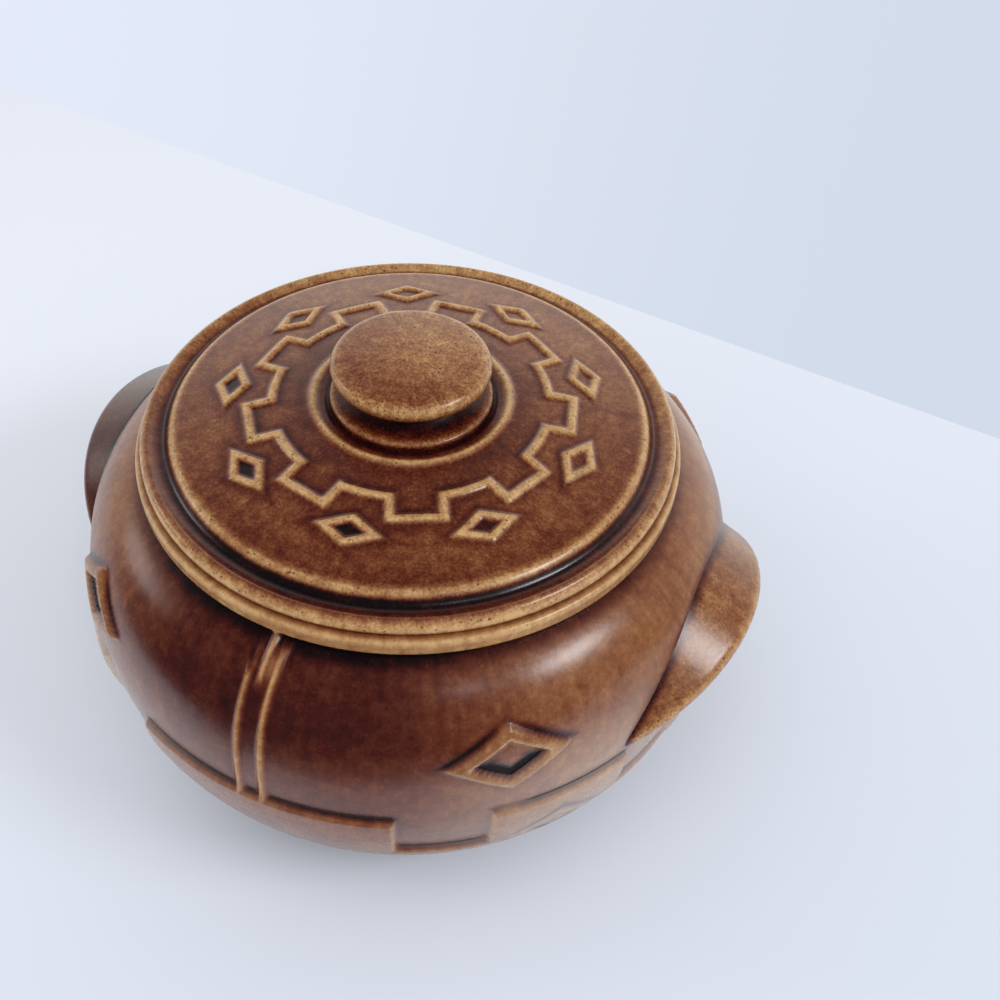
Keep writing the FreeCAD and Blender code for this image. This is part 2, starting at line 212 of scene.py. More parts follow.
def spin(name, path, rows, turns, thin):
    along = alongPath(path)
    ring = np.stack([np.interp(rows, along, path[:, axis]) for axis in (0, 1)], 1)
    middle = ring[1:-1]
    angles = np.radians(turns)
    columns = len(angles)
    points = np.empty((len(middle), columns, 3))
    points[..., 0] = middle[:, :1] * np.cos(angles)
    points[..., 1] = middle[:, :1] * np.sin(angles)
    points[..., 2] = middle[:, 1:]
    vertices = np.concatenate([points.reshape(-1, 3), [[0, 0, ring[0, 1]], [0, 0, ring[-1, 1]]]])
    first, last = len(vertices) - 2, len(vertices) - 1
    column = np.arange(columns)
    after = (column + 1) % columns
    faces = []
    for row in range(len(middle) - 1):
        low, high = row * columns, (row + 1) * columns
        faces += np.stack([low + column, low + after, high + after, high + column], 1).tolist()
    faces += np.stack([np.full(columns, first), after, column], 1).tolist()
    top = (len(middle) - 1) * columns
    faces += np.stack([top + column, top + after, np.full(columns, last)], 1).tolist()
    mesh = bpy.data.meshes.new(name)
    mesh.from_pydata((vertices * mm).tolist(), [], faces)
    mesh.shade_smooth()
    spread = np.repeat(thin[1:-1], columns)
    addMarks(mesh, thin=np.concatenate([spread, [thin[0], thin[-1]]]))
    piece = bpy.data.objects.new(name, mesh)
    bpy.context.scene.collection.objects.link(piece)
    return piece, ring, columns


def glazeOn(path, rows, near, wide):    # thin glaze on edges, thick glaze in hollows, from -1 to 1
    total = 0
    for reach, strength in (near, wide):
        even, out = bulge(path, reach)
        total = total + np.interp(rows, even, out) * strength
    return np.clip(total, -1, 1)


def readOff(places, table):    # glaze depth from a table of (place, depth)
    return np.interp(places, *zip(*table))


def spreadRows(values, columns):    # one value for each row, out to all of its vertices
    return np.concatenate([np.repeat(values[1:-1], columns), [values[0], values[-1]]])


# relief: geometry nodes that raise motifs on a turned shape and note where glaze thins and pools

def reliefTree(name, sizes, draw):
    tree = bpy.data.node_groups.new(name, "GeometryNodeTree")
    sockets = tree.interface
    sockets.new_socket("Geometry", in_out="INPUT", socket_type="NodeSocketGeometry")
    sockets.new_socket("Geometry", in_out="OUTPUT", socket_type="NodeSocketGeometry")
    for label, value in sizes.items():
        sockets.new_socket(label, in_out="INPUT", socket_type="NodeSocketFloat").default_value = value
    sockets.new_socket("glaze", in_out="INPUT", socket_type="NodeSocketMaterial")
    source = tree.nodes.new("NodeGroupInput")
    given = {label: Field(tree, source.outputs[label]) for label in sizes}
    scaled = tree.nodes.new("ShaderNodeVectorMath")
    scaled.operation = "SCALE"
    scaled.inputs["Scale"].default_value = 1 / mm
    tree.links.new(tree.nodes.new("GeometryNodeInputPosition").outputs[0], scaled.inputs[0])
    rise, thins, pools = draw(given, *apart(tree, scaled.outputs[0]))
    thin = stored(tree, "thin")
    where = stored(tree, "relief")
    store = tree.nodes.new("GeometryNodeStoreNamedAttribute")
    store.data_type = "FLOAT"
    store.domain = "POINT"
    store.inputs["Name"].default_value = "thin"
    amount = thin * (1 - calc("MINIMUM", thins + pools, 1) * where) + (thins - pools) * where
    feed(tree, amount, next(item for item in store.inputs if item.name == "Value" and item.enabled))
    push = tree.nodes.new("ShaderNodeVectorMath")
    push.operation = "SCALE"
    tree.links.new(tree.nodes.new("GeometryNodeInputNormal").outputs[0], push.inputs[0])
    feed(tree, rise * where * mm, push.inputs["Scale"])
    move = tree.nodes.new("GeometryNodeSetPosition")
    tree.links.new(push.outputs[0], move.inputs["Offset"])
    realize = tree.nodes.new("GeometryNodeRealizeInstances")
    dress = tree.nodes.new("GeometryNodeSetMaterial")
    tree.links.new(source.outputs["glaze"], dress.inputs["Material"])
    chain = [source, store, move, realize, dress, tree.nodes.new("NodeGroupOutput")]
    for before, after in zip(chain, chain[1:]):
        tree.links.new(before.outputs[0], after.inputs[0])
    return tree


def stored(tree, label):
    node = tree.nodes.new("GeometryNodeInputNamedAttribute")
    node.data_type = "FLOAT"
    node.inputs["Name"].default_value = label
    return Field(tree, next(socket for socket in node.outputs if socket.enabled))


def raiseRelief(piece, tree, sizes, glaze):
    modifier = piece.modifiers.new(tree.name, "NODES")
    modifier.node_group = tree
    inputs = {item.name: item.identifier for item in tree.interface.items_tree if item.in_out == "INPUT"}
    for label, value in sizes.items():
        modifier[inputs[label]] = value
    modifier[inputs["glaze"]] = glaze
    piece.data.materials.append(glaze)
    graph = bpy.context.evaluated_depsgraph_get()
    result = bpy.data.meshes.new_from_object(piece.evaluated_get(graph))
    piece.modifiers.clear()
    piece.data = result
    result.name = piece.name
    result.shade_smooth()


def strongest(*values):
    return calc("MAXIMUM", *values)


# a lozenge's distances, into its frame and into its hole
def lozengeEdge(across, up, halfWidth, halfHeight, frameShare):
    slant = halfWidth * halfHeight / calc("SQRT", halfWidth * halfWidth + halfHeight * halfHeight)
    reach = size(across) / halfWidth + size(up) / halfHeight
    hole = (1 - frameShare - reach) * slant
    return calc("MINIMUM", (1 - reach) * slant, 0 - hole), hole


# glaze: brown where it lies even, tan where it thins over an edge, near black where it pools

def paint(red, green, blue):
    return tuple(((part / 255 + 0.055) / 1.055) ** 2.4 if part > 10 else part / 3295
                 for part in (red, green, blue)) + (1.0,)


glazeLook = {
    "shades": ((0.0, (14, 5, 10)), (0.12, (32, 7, 10)), (0.26, (62, 13, 8)), (0.42, (86, 36, 17)),
               (0.54, (107, 57, 31)), (0.68, (131, 84, 50)), (0.82, (157, 116, 74)),
               (1.0, (191, 155, 108))),    # from pooled to thin
    # how strong each pattern is, and its scale
    "cloud": (0.26, 62.0),      # slow changes of depth, some 15 mm wide
    "mottle": (0.44, 330.0),    # 3 mm freckles
    "fine": (0.46, 1400.0),     # grain under a millimetre
    "streak": (0.2, 36.0),      # runs down the wall and out over the rim
    "speck": (0.75, 760.0),     # iron specks
    "iron": (46, 22, 12),
    "roughness": 0.27,
    "matt": 0.45,               # how much rougher the glaze gets in the deepest pools
    "lens": 1.58,               # how strongly the glaze bends light
    "ripple": 0.14,             # the unevenness of its surface
    # the pale colour of the painted sheen, a reflection of the table painted into the glaze low on the
    # wall
    "haze": (220, 218, 216),
    "clay": ((188, 164, 130), (160, 132, 100)),
    "clayRoughness": 0.85,
}


def noise(tree, vector, scale, detail=2.0, roughness=0.5):
    node = tree.nodes.new("ShaderNodeTexNoise")
    tree.links.new(vector, node.inputs["Vector"])
    for label, value in (("Scale", scale), ("Detail", detail), ("Roughness", roughness)):
        node.inputs[label].default_value = value
    return Field(tree, node.outputs["Fac"])


def mark(tree, label):
    node = tree.nodes.new("ShaderNodeAttribute")
    node.attribute_name = label
    return Field(tree, node.outputs["Fac"])


def mixColour(tree, share, first, second):
    node = tree.nodes.new("ShaderNodeMix")
    node.data_type = "RGBA"
    feed(tree, share, node.inputs["Factor"])
    for value, socket in ((first, node.inputs[6]), (second, node.inputs[7])):
        feed(tree, value, socket)
    return Field(tree, node.outputs[2])


def glazeMaterial(name, grit=1.0):    # grit scales the grain and the specks
    material = bpy.data.materials.new(name)
    material.use_nodes = True
    tree = material.node_tree
    shader = tree.nodes["Principled BSDF"]
    place = tree.nodes.new("ShaderNodeTexCoord").outputs["Object"]
    x, y, z = apart(tree, place)
    radius = calc("SQRT", x * x + y * y + 1e-8)
    runs = together(tree, x / radius, y / radius, (radius + z) * 1.6)
    patterns = "cloud", "mottle", "fine", "streak", "speck"
    strength, scale = [{label: glazeLook[label][part] for label in patterns} for part in (0, 1)]
    cloud = noise(tree, place, scale["cloud"], 4, 0.6) - 0.5
    mottle = noise(tree, place, scale["mottle"], 3, 0.65) - 0.5
    streak = noise(tree, runs, scale["streak"], 3, 0.65) - 0.5
    fine = noise(tree, place, scale["fine"], 2, 0.6) - 0.5
    thin = mark(tree, "thin")
    depth = (thin + cloud * (strength["cloud"] * 2) + mottle * (strength["mottle"] * (1.2 + 0.8 * grit))
             + fine * (strength["fine"] * 2 * grit) + streak * (strength["streak"] * 2))
    ramp = tree.nodes.new("ShaderNodeValToRGB")
    stops = ramp.color_ramp.elements
    while len(stops) < len(glazeLook["shades"]):
        stops.new(0.5)
    for stop, (position, shade) in zip(stops, glazeLook["shades"]):
        stop.position = position
        stop.color = paint(*shade)
    feed(tree, depth * 0.5 + 0.5, ramp.inputs[0])
    colour = Field(tree, ramp.outputs[0])
    grain = noise(tree, place, 1150, 1, 0.5)
    cell = tree.nodes.new("ShaderNodeTexVoronoi")
    cell.inputs["Scale"].default_value = scale["speck"]
    tree.links.new(place, cell.inputs["Vector"])
    dotSize = Field(tree, cell.outputs["Color"]) * 0.5 - 0.12
    speck = step(dotSize - Field(tree, cell.outputs["Distance"]), 0.0, 0.09) * (strength["speck"] * grit)
    speck = speck * step(depth, -0.2, 0.7, 0.3, 1.0)
    colour = mixColour(tree, speck, colour, paint(*glazeLook["iron"]))
    # painted sheen: the pale reflection painted into the colour low on the wall, left out of the deepest
    # pools
    haze = mark(tree, "haze") * step(thin, -1.0, -0.6)
    colour = mixColour(tree, haze, colour, paint(*glazeLook["haze"]))
    bare = mark(tree, "bare")
    clay = mixColour(tree, noise(tree, place, 700, 3), *[paint(*shade) for shade in glazeLook["clay"]])
    colour = mixColour(tree, bare, colour, clay)
    feed(tree, colour, shader.inputs["Base Color"])
    rough = glazeLook["roughness"] + mottle * 0.06 + step(thin, -1.05, -1.35, 0.0, glazeLook["matt"])
    feed(tree, rough * (1 - bare) + bare * glazeLook["clayRoughness"], shader.inputs["Roughness"])
    shader.inputs["IOR"].default_value = glazeLook["lens"]
    bump = tree.nodes.new("ShaderNodeBump")
    bump.inputs["Strength"].default_value = glazeLook["ripple"]
    bump.inputs["Distance"].default_value = 0.0002
    feed(tree, noise(tree, place, 420, 2) - speck * 0.25 + bare * grain, bump.inputs["Height"])
    tree.links.new(bump.outputs[0], shader.inputs["Normal"])
    return material


def finishPiece(piece, node):
    body = next(name for name, nodes in frame["record"]["behaviour"]["bodies"].items() if node in nodes)
    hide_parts(node)
    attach(piece, body)


# the pot

wall = {
    "footRadius": 58.0, "footHeight": 5.5, "footWidth": 7.0, "footRecess": 3.0, "floorThickness": 8.0,
    "bellyRadius": 96.0, "bellyRound": 72.0, "shoulderLean": 16.1, "shoulderRound": 30.0, "wall": 7.0,
    "mouthRadius": 66.0, "rimLand": 10.5, "collarOverhang": 3.0, "collarDepth": 5.2, "neckGap": 1.5,
    "edgeRound": 1.2,
    "edgeGap": 0.68,        # vertex spacing where the relief has edges
    "lozengeGap": 0.9,
    "plainGap": 3.0,
    # glaze depth, -1 pooled to 1 bare-thin, up the wall and then up the collar
    "glaze": ((0, 0.2), (60, 0.42), (80, 0.38), (92, 0.3), (104, 0.3), (106.8, 0.2), (108.4, -0.35),
              (109.7, -0.9)),
    "collarGlaze": ((110.6, 0.3), (111.4, 0.72), (113.5, 0.6), (114.6, 0.75), (115.3, 0.95),
                    (115.8, 0.7)),
    "haze": ((60, 0.24), (72, 0.2), (82, 0.12), (92, 0.0)),    # a painted sheen low on the wall: the table's pale reflection painted into the glaze
    "paintedSheenSide": -146.0,     # and a stronger painted sheen round this angle
    "paintedSheenWidth": 34.0,
    "paintedSheenBy": ((50, 0.52), (66, 0.48), (70, 0.38), (76, 0.22), (84, 0.08), (92, 0.0)),
    "thickAndShadedSide": -88.0,     # darker round this angle at the front: partly glaze lying thicker, partly painted shade
    "thickAndShadedWidth": 36.0,
    "thickAndShadedBy": ((60, 0.5), (80, 0.5), (87, 0.65), (94, 0.82), (100, 0.8), (106, 0.65)),
    "creaseGlaze": 0.6,     # how much deeper it lies in the crease round each lug
    "creaseWidth": 0.9,
}
bellyMiddle = wall["bellyRadius"] - wall["bellyRound"]
footBelow = math.sqrt(wall["bellyRound"] ** 2 - (wall["footRadius"] - bellyMiddle) ** 2)
bellyHeight = wall["footHeight"] + footBelow
lean = math.radians(wall["shoulderLean"])
shoulderMiddle = bellyMiddle + (wall["bellyRound"] - wall["shoulderRound"]) * math.cos(lean)
shoulderLevel = bellyHeight + (wall["bellyRound"] - wall["shoulderRound"]) * math.sin(lean)
collarRadius = wall["mouthRadius"] + wall["rimLand"]
neckRadius = collarRadius - wall["collarOverhang"]
neckHeight = shoulderLevel + math.sqrt(wall["shoulderRound"] ** 2 - (neckRadius - shoulderMiddle) ** 2)
collarHeight = neckHeight + wall["neckGap"]

wallRelief = {
    "relief": 1.75,          # a little under the solid's, so that the soft corners stay inside it
    "skirtFoot": bellyHeight - 47.0,
    "skirtNotch": bellyHeight - 23.5,
    "skirtTooth": bellyHeight - 2.5,
    "wideTooth": 46.0,       # angle of the tooth under the strap
    "notch": 15.3,
    "tooth": 24.4,
    "strapHalf": 4.5,
    "rail": 2.2,
    "strapStep": collarHeight - 7.7,
    "railTop": collarHeight - 3.0,
    "lozengeTurn": 41.0,
    "lozengeHeight": bellyHeight + 17.5,
    "lozengeHalfWidth": 16.8,
    "lozengeHalfHeight": 10.0,
    "lozengeFrame": 0.42,
    "lowHeight": bellyHeight - 22.0,
    "lowHalfWidth": 14.5,
    "lowHalfHeight": 11.0,
    "softness": 0.7,         # half the width of the ornament's rounded flank
    "faceTint": 0.26,        # how much lighter the glaze is on top of the ornament
    "railTint": 0.47,        # and on top of the strap's rails
}


def drawWallRelief(given, x, y, z):
    radius = calc("SQRT", x * x + y * y)
    turn = calc("ARCTAN2", y, x) * (180 / math.pi)
    fromStrap = calc("MODULO", turn + 360, 180.0) - 90
    side = size(fromStrap)
    arc = radius * (math.pi / 180)
    across = fromStrap * arc
    toothMiddle = (given["wideTooth"] + given["tooth"]) * 0.5 + given["notch"]

    def bar(offset, halfWidth, *ends):
        return calc("MINIMUM", halfWidth - size(across - offset), *ends)

    def edges(z):
        wide = (given["wideTooth"] * 0.5 - side) * arc
        tooth = (given["tooth"] * 0.5 - size(side - toothMiddle)) * arc
        lug = (side - toothMiddle - given["tooth"] * 0.5 - given["notch"]) * arc
        teeth = calc("MINIMUM", strongest(wide, tooth, lug), given["skirtTooth"] - z)
        skirt = calc("MINIMUM", calc("MAXIMUM", teeth, given["skirtNotch"] - z), z - given["skirtFoot"])
        offCentre = given["strapHalf"] - given["rail"] * 0.5
        left = bar(0 - offCentre, given["rail"] * 0.45, (given["strapStep"] - z + 1) * 0.4)
        right = bar(offCentre, given["rail"] * 0.5, (given["railTop"] - z + 0.6) * 0.4)
        short = bar(0, given["rail"] * 0.5, (z - given["strapStep"] + 1.6) * 0.4)
        rails = calc("MINIMUM", strongest(left, right, short), z - given["skirtTooth"] + 2)
        swing = (side - given["lozengeTurn"]) * (math.pi / 180)
        frame, hole = lozengeEdge(radius * calc("SINE", swing), z - given["lozengeHeight"],
                                  given["lozengeHalfWidth"], given["lozengeHalfHeight"],
                                  given["lozengeFrame"])
        return strongest(skirt, rails, frame), hole

    def lowEdges(z):    # a second lozenge, lower down on each narrow tooth of the skirt
        swing = (side - toothMiddle) * (math.pi / 180)
        return lozengeEdge(radius * calc("SINE", swing), z - given["lowHeight"],
                           given["lowHalfWidth"], given["lowHalfHeight"], given["lozengeFrame"])

    web = step(size(across - 1.6), 1.9, 1.2) * step(z, given["strapStep"] - 4, given["strapStep"] + 2)
    web = web * step(z, given["railTop"] + 1.0, given["railTop"] - 2.0)
    faint = hill(across, -2.7, 0.7) * step(z, given["strapStep"] - 1, given["strapStep"] + 1.5)
    faint = faint * step(z, given["railTop"] + 1.0, given["railTop"] - 1.5)
    strap = step(size(across), 5.2, 4.6) * step(z, given["skirtTooth"], given["skirtTooth"] + 4)
    fromMiddle = size(side - given["lozengeTurn"]) * arc
    rise, thins, pools = web * 0.6 + faint * 0.3, web * 0.45 + faint * 0.4, 0.0
    shapes = (edges, 1.0, given["lozengeHeight"]), (lowEdges, 0.6, given["lowHeight"])
    for shape, height, middle in shapes:
        depth, hole = shape(z)
        # 1 where an edge looks down, -1 where it looks up
        facing = (shape(z + 0.7)[0] - shape(z - 0.7)[0]) / 1.4
        tall = (1 - strap * 0.4) * (given["relief"] * height)
        soft = (1 + strap * 0.5) * given["softness"]
        rise = strongest(step(depth, soft * -0.6, soft * 1.4) * tall, rise)
        # lighter along the ornament's edges: glaze breaking thin over them, most where an edge looks
        # down, and a painted highlight on them
        edge = hill(depth, 0.4, 0.64) * (facing * 0.36 + 0.62) * (1 - strap * 0.4)
        face = step(depth, 0.1, 1.2) * (strap * given["railTint"] + given["faceTint"])
        thins = calc("MAXIMUM", edge + face, thins)
        upward = calc("MAXIMUM", 0 - facing, 0)
        pool = hill(depth, -0.8, 0.8) * upward * step(fromMiddle, 1, 7, 0.2, 1.0)
        pool = pool + hill(depth, -0.9, 1.3) * 0.12
        inHole = step(hole, -0.7, 0.8) * step(hole, 3.8, 2.0) * step(z - middle, 1.8, -0.8) * 1.4
        pools = strongest(pool, inHole, pools)
    return rise, thins, pools


def wallPath():
    small = wall["edgeRound"]
    foot = wall["footRadius"] - wall["footWidth"]
    belly, shoulder = wall["bellyRound"], wall["shoulderRound"]
    innerBelly, innerShoulder = belly - wall["wall"], shoulder - wall["wall"]
    leanOut, leanUp = math.cos(lean), math.sin(lean)
    floor = wall["footRecess"] + wall["floorThickness"]
    mouth = wall["mouthRadius"]
    outside = [
        (0, wall["footRecess"]),
        (foot - small, wall["footRecess"]),
        (foot, wall["footRecess"] - small, small, -1),
        (foot, small),
        (foot + small, 0, small, 1),
        (wall["footRadius"] - small, 0),
        (wall["footRadius"], small, small, 1),
        (wall["footRadius"], wall["footHeight"]),
        (bellyMiddle + belly * leanOut, bellyHeight + belly * leanUp, belly, 1),
        (neckRadius, neckHeight, shoulder, 1),
        (neckRadius, collarHeight),
        (collarRadius - small, collarHeight),
        (collarRadius, collarHeight + small, small, 1),
        (collarRadius, seat - small),
        (collarRadius - small, seat, small, 1),
    ]
    inside = [
        (mouth + small, seat),
        (mouth, seat - small, small, 1),
        (mouth, shoulderLevel + math.sqrt(innerShoulder ** 2 - (mouth - shoulderMiddle) ** 2)),
        (bellyMiddle + innerBelly * leanOut, bellyHeight + innerBelly * leanUp, innerShoulder, -1),
        (bellyMiddle + math.sqrt(innerBelly ** 2 - (bellyHeight - floor) ** 2), floor, innerBelly, -1),
        (0, floor),
    ]
    return tracePath(outside), tracePath(outside + inside)


def bands(line, plain, *fine):    # the wanted vertex gap along a line, finer inside each band
    gaps = np.full(len(line), float(plain))
    for low, high, gap in fine:
        away = np.maximum(0, np.maximum(low - line, line - high))
        gaps = np.minimum(gaps, gap + away * 0.6)
    return gaps


def darkenCreases(piece):    # glaze pools in the crease round each lug
    lugs = [points[high > -0.5] for points, fromTip, high in (lugPoints(1), lugPoints(-1))]
    lugs = np.concatenate(lugs)
    tree = KDTree(len(lugs))
    for index, point in enumerate(lugs):
        tree.insert(point, index)
    tree.balance()
    values = np.empty(len(piece.data.vertices), np.float32)
    piece.data.attributes["thin"].data.foreach_get("value", values)
    for vertex in piece.data.vertices:
        point = vertex.co / mm
        if abs(point.x) > 60 and bellyHeight - 20 < point.z < collarHeight:
            gap = tree.find(point)[2]
            values[vertex.index] -= wall["creaseGlaze"] * math.exp(-(gap / wall["creaseWidth"]) ** 2)
    addMarks(piece.data, thin=values)


def wallRows(path, along, rimAt):    # where the rings of vertices lie along the outline
    edge, close, plain = wall["edgeGap"], wall["lozengeGap"], wall["plainGap"]
    lozenge = wallRelief["lozengeHeight"], wallRelief["lozengeHalfHeight"] + 1.5
    low = wallRelief["lowHeight"], wallRelief["lowHalfHeight"] + 0.5
    outer = bands(path[:, 1], plain,
                  (wallRelief["skirtFoot"] - 1.5, wallRelief["skirtFoot"] + 2.5, edge),
                  (wallRelief["skirtNotch"] - 2.5, wallRelief["skirtNotch"] + 2.5, edge),
                  (wallRelief["skirtTooth"] - 2.5, wallRelief["skirtTooth"] + 2.5, edge),
                  (lozenge[0] - lozenge[1], lozenge[0] + lozenge[1], close),
                  (low[0] - low[1], low[0] + low[1], close * 1.15),
                  (wallRelief["strapStep"] - 2, seat, edge))
    inner = bands(path[:, 1], 5.0, (seat - 3, seat + 1, edge))
    under = bands(path[:, 0], 6.0, (wall["footRadius"] - wall["footWidth"] - 1.5, 200, edge * 2.2))
    isFoot = along < alongPath(tracePath([(0, 0), (wall["footRadius"], wall["footHeight"])]))[-1]
    return stations(along, np.where(along > rimAt, inner, np.where(isFoot, under, outer)))


def wallTurns():    # and at what angles the columns stand
    edge, close, plain = wall["edgeGap"], wall["lozengeGap"], wall["plainGap"]
    turns = np.linspace(-90, 90, 3601)
    toothHalf = wallRelief["tooth"] / 2
    toothAt = wallRelief["wideTooth"] / 2 + wallRelief["notch"] + toothHalf
    toothSides = [wallRelief["wideTooth"] / 2, toothAt - toothHalf, toothAt + toothHalf,
                  toothAt + toothHalf + wallRelief["notch"]]
    degree = math.degrees(1 / wall["bellyRadius"])
    span = math.degrees(wallRelief["lozengeHalfWidth"] / wall["bellyRadius"]) + 1
    gaps = bands(np.abs(turns), plain * degree, (-1, math.degrees(5.5 / 90), 0.5 * degree),
                 (wallRelief["lozengeTurn"] - span, toothAt + span - 2, close * degree),
                 *[(angle - 0.8, angle + 0.8, edge * degree) for angle in toothSides])
    half = stations(turns, gaps)[:-1]
    return np.concatenate([half - 90, half + 90])


def makePot():
    outside, path = wallPath()
    line, path = soften(path, 0.3)[1:]
    along = alongPath(path)
    rimAt = along[-1] * alongPath(outside)[-1] / alongPath(tracePath(list(map(tuple, line))))[-1]
    rows = wallRows(path, along, rimAt)
    turns = wallTurns()
    at = np.stack([np.interp(rows, along, path[:, axis]) for axis in (0, 1)], 1)
    collar = (at[:, 1] > collarHeight - 0.05) & (at[:, 0] > neckRadius - 1)
    thin = np.where(collar, readOff(at[:, 1], wall["collarGlaze"]), readOff(at[:, 1], wall["glaze"]))
    thin = np.where(rows > rimAt, glazeOn(path, rows, (1.2, 1.1), (3.5, 0.34)) - 0.1, thin)
    piece, ring, columns = spin("potBody", path, rows, turns, thin)
    onWall = (rows < rimAt) & (ring[:, 1] > wall["footHeight"]) & (ring[:, 1] < collarHeight + 0.4)
    onWall &= ring[:, 0] > wall["footRadius"] - 1
    seatFlat = (ring[:, 1] > seat - 0.25) & (ring[:, 0] < collarRadius - 4)
    footFlat = (ring[:, 1] < 0.9) & (rows < rimAt)
    wallOnly = onWall[1:-1].astype(float)[:, None]
    up = ring[1:-1, 1:]
    # the wall darker round one side at the front: partly thicker glaze, partly painted shade
    fromSide = (turns - wall["thickAndShadedSide"] + 180) % 360 - 180
    thickAndShaded = np.exp(-np.abs(fromSide / wall["thickAndShadedWidth"]) ** 3)
    spread = spreadRows(thin, columns)
    spread[:-2] -= (wallOnly * readOff(up, wall["thickAndShadedBy"]) * thickAndShaded).ravel()
    # painted sheen, low on the wall and stronger round one side: the table's pale reflection painted into
    # the glaze
    paintedSheenTurn = (turns - wall["paintedSheenSide"] + 180) % 360 - 180
    paintedSheenPatch = readOff(up, wall["paintedSheenBy"]) * np.exp(-(paintedSheenTurn / wall["paintedSheenWidth"]) ** 2)
    haze = wallOnly * np.maximum(readOff(up, wall["haze"]) * (1 - thickAndShaded) ** 1.6, paintedSheenPatch)
    addMarks(piece.data, relief=spreadRows(onWall.astype(float), columns), thin=spread,
             bare=spreadRows((seatFlat | footFlat).astype(float), columns),
             haze=np.concatenate([haze.ravel(), [0, 0]]))
    darkenCreases(piece)
    tree = reliefTree("wallRelief", wallRelief, drawWallRelief)
    raiseRelief(piece, tree, wallRelief, glazeMaterial("potGlaze", 0.4))
    return piece


# the lugs

lug = {
    "setback": 6.4, "rise": 28.2, "tilt": 26.0, "arch": 52.0, "thickness": 8.5,
    "halfWidth": 49.0, "halfDepth": 17.0, "reach": 19.6, "tipRound": 3.4,
    "bond": 3.0,            # how deep the hidden root sits in the wall
    "slices": 150,
    "glazeRight": 0.3,
    "glazeLeft": -0.45,     # darker all over on this one
    "tipGlaze": (0.4, 1.6),     # how much thinner it gets towards the tip, and over what width
    "rootGlaze": (0.9, 1.0),    # how much deeper it gets at the root, and over what width
}


def wallHeight(points):    # how far points stand out of the wall's plain surface, and which way is out
    radius = np.hypot(points[..., 0], points[..., 1])
    away = np.stack([radius, points[..., 2]], -1)
    onShoulder = away[..., 1] > bellyHeight + wall["bellyRound"] * math.sin(lean)
    middle = np.where(onShoulder[..., None], (shoulderMiddle, shoulderLevel), (bellyMiddle, bellyHeight))
    reach = away - middle
    length = np.maximum(np.hypot(reach[..., 0], reach[..., 1]), 1e-6)
    out = reach / length[..., None]
    share = out[..., :1] / np.maximum(radius, 1e-6)[..., None]
    normal = np.concatenate([points[..., :2] * share, out[..., 1:]], -1)
    return length - np.where(onShoulder, wall["shoulderRound"], wall["bellyRound"]), normal


def lugSection(reach):    # outline across the lug, from its hidden root out, round the tip and back
    half = lug["thickness"] / 2
    tip = lug["tipRound"]
    root = -lug["bond"] * 2
    arc = np.linspace(0, math.pi / 2, 9)
    stem = np.linspace(root, reach - tip, 22)[:-1]
    flat = np.linspace(tip - half, half - tip, 4)[1:-1]
    out = np.concatenate([stem, reach - tip + tip * np.sin(arc), np.full(len(flat), reach),
                          reach - tip + tip * np.cos(arc), stem[::-1]])
    up = np.concatenate([np.full(len(stem), -half), tip - half - tip * np.cos(arc), flat,
                         half - tip + tip * np.sin(arc), np.full(len(stem), half)])
    cap = np.linspace(half, -half, 8)[1:-1]
    return np.concatenate([out, np.full(len(cap), root)]), np.concatenate([up, cap])


def lugPoints(side):
    end = math.asin(0.99 * lug["halfWidth"] / lug["arch"])
    tilt = math.radians(lug["tilt"])
    slices, fromTip = [], []
    for angle in np.linspace(-end, end, lug["slices"]):
        share = min(1, abs(lug["arch"] * math.sin(angle) / lug["halfWidth"]))
        reach = lug["reach"] - lug["halfDepth"] + lug["halfDepth"] * math.sqrt(1 - share ** 2)
        out, up = lugSection(reach)
        ring = lug["arch"] - lug["thickness"] / 2 + up
        high = ring * math.cos(angle) - lug["arch"]
        slices.append(np.stack([
            wall["bellyRadius"] - lug["setback"] + out * math.cos(tilt) + high * math.sin(tilt),
            ring * math.sin(angle),
            bellyHeight + lug["rise"] - out * math.sin(tilt) + high * math.cos(tilt)], 1))
        fromTip.append(reach - out)
    points = np.array(slices)
    high, normal = wallHeight(points)
    points += normal * np.maximum(0, -lug["bond"] - high)[..., None]
    points[..., :2] *= side    # the left lug is the right one turned half round the pot
    return points, np.array(fromTip), np.maximum(high, -lug["bond"])


def makeLug(name, side, glaze):
    points, fromTip, high = lugPoints(side)
    slices, around = points.shape[:2]
    column = np.arange(around)
    after = (column + 1) % around
    faces = []
    for row in range(slices - 1):
        low, top = row * around, (row + 1) * around
        faces += np.stack([low + column, top + column, top + after, low + after], 1).tolist()
    faces += [column.tolist(), (column[::-1] + (slices - 1) * around).tolist()]
    mesh = bpy.data.meshes.new(name)
    mesh.from_pydata((points.reshape(-1, 3) * mm).tolist(), [], faces)
    mesh.shade_smooth()
    (tipThin, tipWidth), (rootDepth, rootWidth) = lug["tipGlaze"], lug["rootGlaze"]
    edge = np.exp(-(np.maximum(0, fromTip - lug["tipRound"] * 0.5) / tipWidth) ** 2)
    pool = np.exp(-(high / rootWidth) ** 2)
    addMarks(mesh, thin=(glaze + edge * tipThin * (1 - pool) - pool * rootDepth).ravel())
    piece = bpy.data.objects.new(name, mesh)
    bpy.context.scene.collection.objects.link(piece)
    mesh.materials.append(glazeMaterial(name + "Glaze"))
    return piece


# the lid

